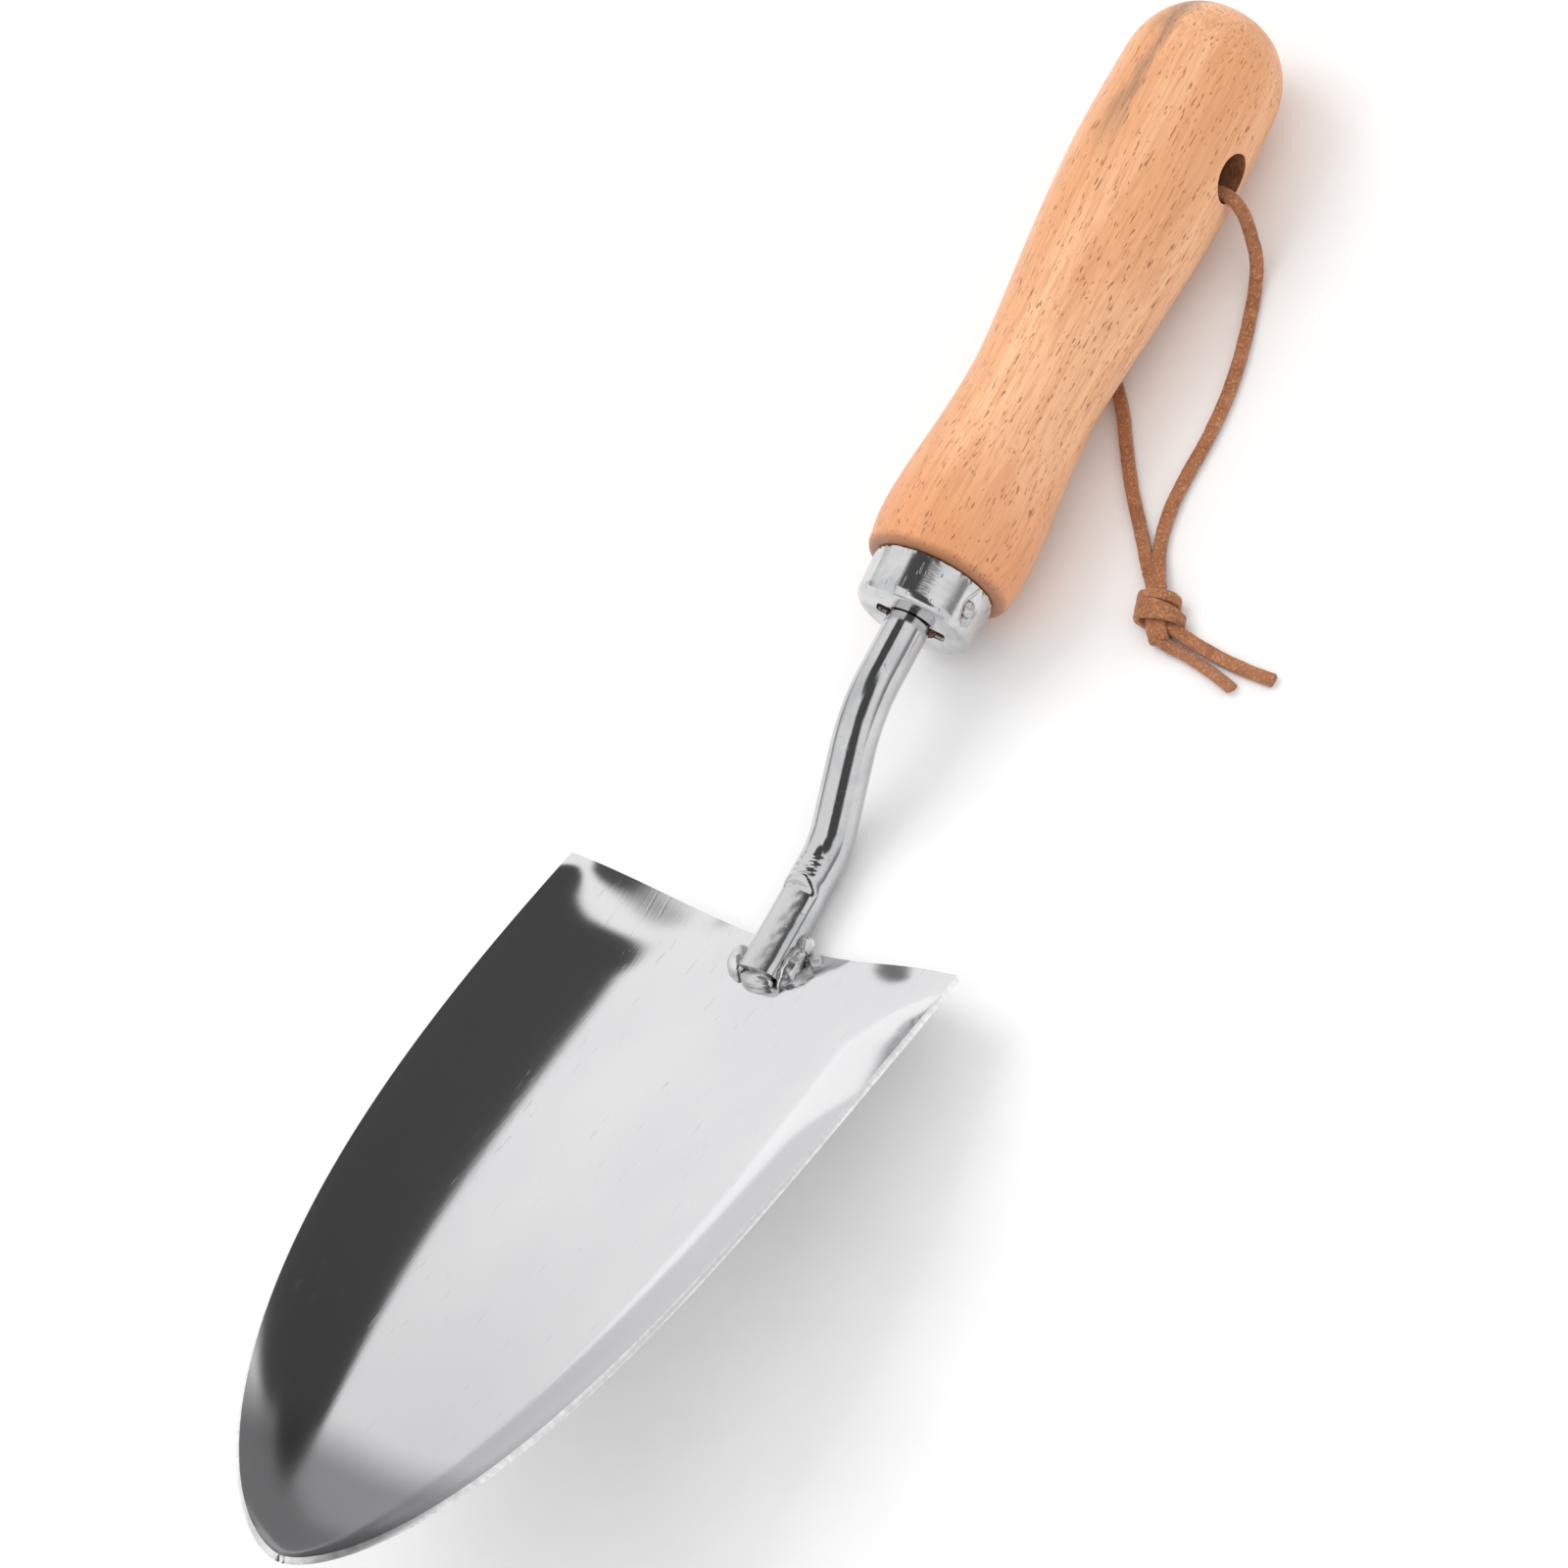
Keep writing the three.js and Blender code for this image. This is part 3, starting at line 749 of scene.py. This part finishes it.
def shank():
    """The rod, its foot pressed flat over a kink and laid on the blade, and its ears."""
    line, foot_y = rod_line()
    kink_y = foot_y - FLAT_START
    rings = []
    for y, z, slope in line:
        over = Vector((0, -math.sin(slope), math.cos(slope)))
        ring = []
        for k in range(ROD_SIDES):
            angle = 2 * math.pi * k / ROD_SIDES
            side, up = ROD_RADIUS * math.cos(angle), ROD_RADIUS * math.sin(angle)
            ridge_y = kink_y + 0.5 * MM * math.cos(side / ROD_RADIUS * 2)
            pressed = smoothstep(0, 1.6 * MM, ridge_y - y)
            if pressed > 0:
                dents = 0.05 * MM * noise.noise(Vector((side, y, 0)) * 700)
                level = mix(ROD_RADIUS + 0.4 * MM, FLAT_HEIGHT + dents, pressed)
                near = max(1.2 * MM - abs(up - level), 0)
                crown = 0.5 * MM * pressed * (side / ROD_RADIUS) ** 2
                up = min(up, level) - near * near / (4.8 * MM) - crown
            swell = math.exp(-((ridge_y - y + 0.4 * MM) / (0.8 * MM)) ** 2)
            up += 0.22 * MM * swell * max(math.sin(angle), 0) ** 2
            for wrinkle_y, depth in ((kink_y + 1.7 * MM, 0.3), (kink_y + 3.0 * MM, 0.34),
                                     (kink_y + 4.3 * MM, 0.22)):
                bow = wrinkle_y + 0.9 * MM * math.cos(angle)
                groove = math.exp(-((y - bow) / (0.32 * MM)) ** 2)
                up -= depth * MM * groove * max(math.cos(angle - 1.66), 0) ** 5
            point = Vector((side, y, z)) + over * up
            if point.y < BACK_Y + 0.2 * MM and point.z < blade_height(side, y) + 0.02 * MM:
                point.z = blade_height(side, y) + 0.02 * MM
            ring.append(point)
        rings.append(ring)
    bm = bmesh.new()
    add_loft(bm, rings)
    ears = bmesh.ops.create_cube(bm, size=1)["verts"]
    bmesh.ops.scale(bm, vec=EARS_SIZE, verts=ears)
    edges = list({e for v in ears for e in v.link_edges})
    rounded = bmesh.ops.bevel(
        bm, geom=edges, offset=0.55 * MM, segments=4, profile=0.5, affect="EDGES",
    )["verts"]
    turn = Matrix.Rotation(EARS_TURN, 4, "Y")
    shift = Matrix.Translation((0, FACE_Y + 3.3 * MM, AXIS_Z + 0.4 * MM))
    loose = {v for corner in rounded for face in corner.link_faces for v in face.verts}
    bmesh.ops.transform(bm, matrix=shift @ turn, verts=list(loose))
    return piece("shank_rod", bm, [ROD], ["shank"], math.radians(55))


shank()


# ---------- weld ----------


def bead(name, centre, size, turn, replaced, ripples, seed):
    """A lump of weld metal with the ripples of its run; size is half of it along X, Y and Z."""
    bm = bmesh.new()
    bmesh.ops.create_uvsphere(bm, u_segments=56, v_segments=40, radius=1)
    rotation = Matrix.Rotation(turn, 3, "Z")
    for v in bm.verts:
        unit = v.co.copy()
        wave = 0.035 * math.sin(unit.y * ripples) if ripples else 0
        lump = 0.12 * noise.noise(unit * 1.3 + Vector((seed, 0, 0)))
        fine = 0.02 * noise.noise(unit * 4 + Vector((0, seed, 0)))
        grown = 1 + wave + lump + fine
        local = Vector((unit.x * size[0], unit.y * size[1], unit.z * size[2])) * grown * MM
        v.co = Vector(centre) * MM + rotation @ local
    piece(name, bm, [WELD], [replaced])


bead("weld_right", (4.7, -23.2, 4.5), (1.7, 3.9, 1.7), -0.1, "weld_bead_right", 11, 1)
bead("weld_left", (-4.6, -25.2, 5.0), (2.1, 2.9, 1.8), 0.2, "weld_bead_left", 0, 2)
bead("weld_front", (0.4, -27.6, 5.4), (3.2, 1.5, 1.2), 0.1, "weld_bead_front", 0, 3)
bead("weld_heel", (4.6, -18.2, 3.2), (1.3, 2.0, 1.6), 0.0, "weld_bead_heel", 5, 4)


# ---------- ferrule and nail ----------

FACE_RADIUS = 10.9 * MM
RIM_RADIUS = 11.2 * MM
WALL = 1.0 * MM
ROUNDING = 1.8 * MM
FERRULE_LENGTH = FERRULE_HIGH.y - FERRULE_LOW.y
KEYHOLE_RADIUS = 4.9 * MM
LOBE_REACH = 1.6 * MM
NAIL_TURN = math.radians(13)
NAIL_Y = FACE_Y + 4.6 * MM
NAIL_SHAFT, NAIL_HEAD = 0.7, 1.5
DIMPLE_DEPTH = 0.85 * MM
NAIL_DEPTH = 0.45 * MM


def ferrule():
    """The drawn cup: rounded edge, crimped rim, a dent for the nail and a two-lobed keyhole."""
    profile = [(0, FACE_Y)] + [(FACE_RADIUS * i / 6 * 0.83, FACE_Y) for i in range(1, 6)]
    for i in range(11):
        a = i / 10 * math.pi / 2
        profile.append((FACE_RADIUS - ROUNDING * (1 - math.sin(a)),
                        FACE_Y + ROUNDING * (1 - math.cos(a))))
    for i in range(1, 23):
        t = i / 22
        profile.append((mix(FACE_RADIUS, RIM_RADIUS, t), FACE_Y + mix(ROUNDING, FERRULE_LENGTH, t)))
    profile += [
        (RIM_RADIUS - 0.5 * MM, FERRULE_HIGH.y + 0.12 * MM), (RIM_RADIUS - WALL, FERRULE_HIGH.y),
        (FACE_RADIUS - WALL, FACE_Y + ROUNDING), (FACE_RADIUS - WALL - 0.6 * MM, FACE_Y + WALL),
        (1 * MM, FACE_Y + WALL), (0, FACE_Y + WALL),
    ]

    def place(point, angle):
        radius = math.hypot(point.x, point.z - AXIS_Z)
        if radius > FACE_RADIUS - 1.2 * MM and point.y > FACE_Y + 1.0 * MM:
            out = Vector((math.cos(angle), 0, math.sin(angle)))
            wrap = Vector((math.cos(angle) * 9, math.sin(angle) * 9, 0))
            rim = smoothstep(FERRULE_HIGH.y - 0.7 * MM, FERRULE_HIGH.y, point.y)
            point = point + out * rim * 0.1 * MM * noise.noise(wrap * 1.6)
            point.y += rim * 0.22 * MM * noise.noise(wrap * 1.1 + Vector((0, 0, 5)))
            gap = (angle - NAIL_TURN + math.pi) % (2 * math.pi) - math.pi
            round_about, along = gap * FACE_RADIUS, point.y - NAIL_Y
            narrow = 1.5 * MM * max(1 - (along / (4.2 * MM)) ** 2, 0.25)
            reach = math.hypot(round_about / narrow, along / (3.1 * MM))
            point = point - out * DIMPLE_DEPTH * math.exp(-reach ** 4)
        return point

    bm = bmesh.new()
    add_turned(bm, profile, 240, place)
    made = piece("ferrule_cup", bm, [CUP], ["ferrule"])
    hole = bmesh.new()
    rings = []
    for y in (FACE_Y - 2 * MM, FACE_Y + 3 * MM):
        ring = []
        for k in range(160):
            angle = 2 * math.pi * k / 160
            lobe = abs(math.cos(angle + EARS_TURN))
            reach = KEYHOLE_RADIUS + LOBE_REACH * smoothstep(0.925, 0.972, lobe)
            x, z = reach * math.cos(angle), AXIS_Z + 0.4 * MM + reach * math.sin(angle)
            ring.append(Vector((x, y, z)))
        rings.append(ring)
    add_loft(hole, rings)
    cut(made, hole)
    sharpen(made, math.radians(40))


def ferrule_nail():
    """A round-headed nail driven square to the ferrule's side."""
    out = Vector((math.cos(NAIL_TURN), 0, math.sin(NAIL_TURN)))
    foot = Vector((0, NAIL_Y, AXIS_Z)) + out * (FACE_RADIUS - NAIL_DEPTH)
    side = Vector((0, 1, 0))
    third = out.cross(side)
    # radius and height above the dimple, in millimetres
    steps = [(NAIL_SHAFT, -5.6), (NAIL_SHAFT, -0.2), (1.42, -0.2), (NAIL_HEAD, 0.06)]
    for i in range(1, 9):
        a = i / 8 * math.pi / 2
        steps.append((max(NAIL_HEAD * math.cos(a), 0.02), 0.06 + 0.62 * math.sin(a)))
    rings = []
    for radius, height in steps:
        ring = []
        for k in range(40):
            angle = 2 * math.pi * k / 40
            turned = side * math.cos(angle) + third * math.sin(angle)
            ring.append(foot + out * height * MM + turned * radius * MM)
        rings.append(ring)
    bm = bmesh.new()
    add_loft(bm, rings)
    piece("nail_round_head", bm, [NAIL], ["ferrule_nail"], math.radians(40))


ferrule()
ferrule_nail()


# ---------- handle ----------

# radius, and distance along the handle from the ferrule's face, in millimetres
HANDLE_POINTS = [
    (13.2, 10.2), (13.9, 16), (13.6, 24), (12.4, 36), (11.8, 47), (12.4, 58),
    (13.5, 70), (14.5, 83), (14.95, 96), (14.5, 111),
]
DOME_LENGTH = 15 * MM
DOME_RADIUS = 14.5 * MM
SPIGOT_RADIUS = 9.5 * MM
TANG_BORE_RADIUS = 4.3 * MM


def handle():
    """The turned grip: a spigot in the ferrule, a slim waist, a palm swell and a round end."""
    start = FERRULE_LENGTH + 0.3 * MM
    profile = [
        (0, FACE_Y + 1.3 * MM), (SPIGOT_RADIUS, FACE_Y + 1.3 * MM), (SPIGOT_RADIUS, FACE_Y + start),
        (11.7 * MM, FACE_Y + start), (12.2 * MM, FACE_Y + start + 0.1 * MM),
        (12.75 * MM, FACE_Y + start + 0.5 * MM),
    ]
    outline = smooth_path([Vector((r, y, 0)) * MM for r, y in HANDLE_POINTS], 14)
    profile += [(p.x, FACE_Y + p.y) for p in outline]
    for i in range(1, 31):
        a = i / 30 * math.pi / 2
        radius = DOME_RADIUS * max(math.cos(a), 0) ** 0.82
        profile.append((radius if i < 30 else 0, FACE_Y + 111 * MM + DOME_LENGTH * math.sin(a)))
    bm = bmesh.new()
    add_turned(bm, profile, 144)
    made = piece("handle_grip", bm, [BEECH], ["handle"])
    hole = bmesh.new()
    rings = []
    for x, grow in ((-18, 1.2), (-15.2, 0.4), (-14.8, 0.16), (-14.3, 0), (14.3, 0), (14.8, 0.16),
                    (15.2, 0.4), (18, 1.2)):
        radius = HOLE_RADIUS + grow * MM
        rings.append([
            Vector((x * MM, HOLE_Y + radius * math.cos(2 * math.pi * k / 80),
                    AXIS_Z + HOLE_FLATNESS * radius * math.sin(2 * math.pi * k / 80)))
            for k in range(80)
        ])
    add_loft(hole, rings)
    cut(made, hole, BORE)
    bore = bmesh.new()
    rings = []
    for y in (FACE_Y - 2 * MM, FACE_Y + 64 * MM):
        rings.append([
            Vector((TANG_BORE_RADIUS * math.cos(2 * math.pi * k / 48), y,
                    ROD_Z + TANG_BORE_RADIUS * math.sin(2 * math.pi * k / 48)))
            for k in range(48)
        ])
    add_loft(bore, rings)
    cut(made, bore, BORE)
    sharpen(made, math.radians(40))


handle()


# ---------- floor, light and backdrop ----------

PAPER_LIGHT = 1.06  # what lights the floor and everything that is not a mirror
# Azimuth and elevation, soft edge from and to, all in degrees, then brightness. Later ones lie over
# earlier ones, and azimuth runs from +Y towards +X.
STUDIO_PATCHES = [
    (-95, -8, 12, 34, 0.4),  # the greyer left side, low down
    (72, -4, 12, 32, 0.3),  # the dim right side, low down
    (143, 47, 19, 26, 0.08),  # a dark strip that runs overhead from behind on the right
    (108, 69, 18, 25, 0.08),  # its middle
    (-18, 71, 17, 21, 0.08),  # its far end
    (-4, -14, 45, 47.5, 0.55),  # the dim far end of the room
    (8.5, 39, 9, 12, 0.065),  # the black card that the blade mirrors
    (24, 36, 9, 12, 0.065),  # and its right half
    (-68.5, 11.5, 1.6, 3.2, 0.1),  # a small dark thing on the left
]


def floor():
    bm = bmesh.new()
    bmesh.ops.create_grid(bm, x_segments=1, y_segments=1, size=6)
    mesh = bpy.data.meshes.new("floor")
    bm.to_mesh(mesh)
    bm.free()
    made = bpy.data.objects.new("floor", mesh)
    bpy.context.scene.collection.objects.link(made)
    s = Shader("floor_paper")
    speckle = s.noise((40, 40, 40), 3)
    s.set(Base_Color=s.blend(s.ramp(speckle, 0.3, 0.7), rgb(243, 243, 243), rgb(240, 240, 240)),
          Roughness=0.9, Specular_IOR_Level=0.1)
    mesh.materials.append(s.material)


def world():
    """A pale studio all round, with the dark shapes that only the steel mirrors."""
    made = bpy.data.worlds.new("studio")
    bpy.context.scene.world = made
    made.use_nodes = True
    nodes = Nodes(made.node_tree)
    back = nodes.tree.nodes["Background"]
    place = nodes.add("ShaderNodeTexCoord").outputs["Generated"]

    def patch(below, azimuth, elevation, inner, outer, level):
        """A round patch of a level over what is below it, soft from inner to outer degrees."""
        a, e = math.radians(azimuth), math.radians(elevation)
        centre = Vector((math.sin(a) * math.cos(e), math.cos(a) * math.cos(e), math.sin(e)))
        facing = nodes.add("ShaderNodeVectorMath", {0: place, 1: centre}, operation="DOT_PRODUCT")
        angle = nodes.add("ShaderNodeMath", {0: facing.outputs["Value"]}, operation="ARCCOSINE")
        share = nodes.add("ShaderNodeMapRange", {
            "Value": angle.outputs[0], "From Min": math.radians(inner),
            "From Max": math.radians(outer), "To Min": 1.0, "To Max": 0.0,
        }, interpolation_type="SMOOTHSTEP").outputs[0]
        inputs = {"Factor": share, 2: below, 3: level}
        return nodes.add("ShaderNodeMix", inputs, data_type="FLOAT").outputs[0]

    level = 1.0
    for one in STUDIO_PATCHES:
        level = patch(level, *one)
    mirrored = nodes.add("ShaderNodeLightPath").outputs["Is Glossy Ray"]
    inputs = {"Factor": mirrored, 2: PAPER_LIGHT, 3: level}
    final = nodes.add("ShaderNodeMix", inputs, data_type="FLOAT").outputs[0]
    nodes.put(back.inputs["Strength"], final)
    nodes.put(back.inputs["Color"], (1, 1, 1, 1))


floor()
world()
area_light("key", (-0.9, 0.2, 1.3), (0, 0, 0), 0.9, 0.9, 7)
bpy.context.scene.view_settings.view_transform = "Standard"
